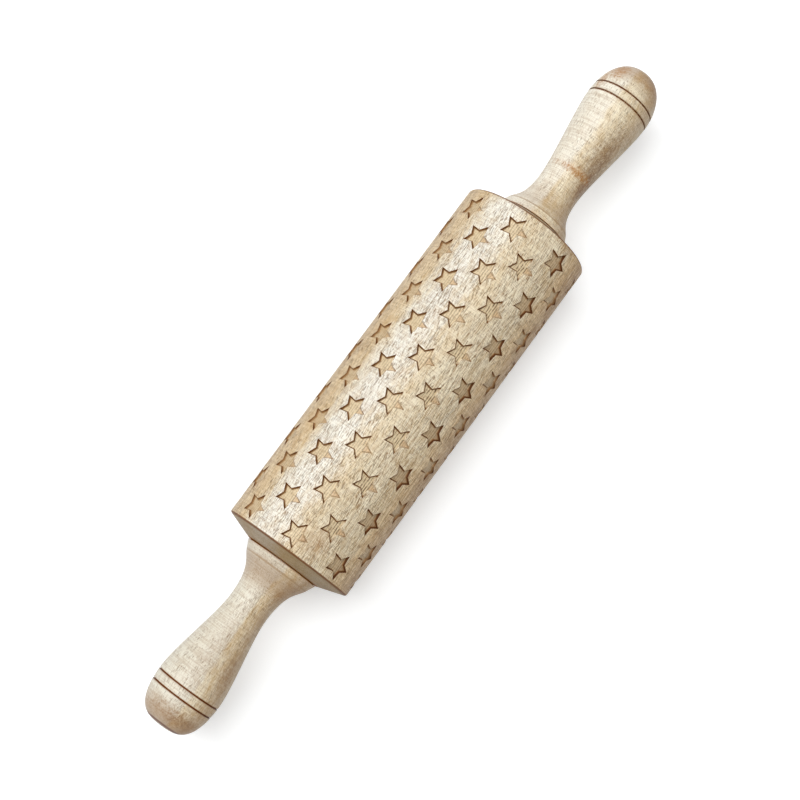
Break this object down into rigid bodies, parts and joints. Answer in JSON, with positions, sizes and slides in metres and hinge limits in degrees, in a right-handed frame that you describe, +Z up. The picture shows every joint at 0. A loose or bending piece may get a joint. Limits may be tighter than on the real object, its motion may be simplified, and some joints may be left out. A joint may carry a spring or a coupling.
{
  "type": "embossed rolling pin",
  "caption": "Wooden rolling pin: a barrel covered in sunken stars turns on a hidden steel rod between turned handles, to roll dough flat and print raised stars on it.",
  "frame": {"origin": "on the table, under the middle of the barrel", "axes": "+X along the pin, +Z up, one point of each star towards the -Y side at the top of the barrel"},
  "size_m": [0.3766, 0.065, 0.065],
  "materials": {
    "barrel_wood": "pale oiled hardwood with short dark pores along the pin, star pockets with burnt walls",
    "handle_wood": "pale oiled hardwood, mottled, with burnt rings near the end",
    "rod_steel": "drawn bright steel rod",
    "washer_steel": "zinc plated",
    "bush_plastic": "natural nylon",
    "insert_brass": "machined brass"
  },
  "bodies": {
    "rod_and_handles": {"axle_rod": "rod_steel", "right_thrust_washer": "washer_steel", "left_thrust_washer": "washer_steel", "right_threaded_insert": "insert_brass", "left_threaded_insert": "insert_brass", "right_handle": "handle_wood", "left_handle": "handle_wood"},
    "roller": {"barrel": "barrel_wood", "right_bearing_bush": "bush_plastic", "left_bearing_bush": "bush_plastic"}
  },
  "joints": [
    {"name": "barrel_spin", "type": "hinge", "parent": "rod_and_handles", "child": "roller", "pos_m": [0, 0, 0.0325], "axis": [1, 0, 0], "continuous": true}
  ]
}
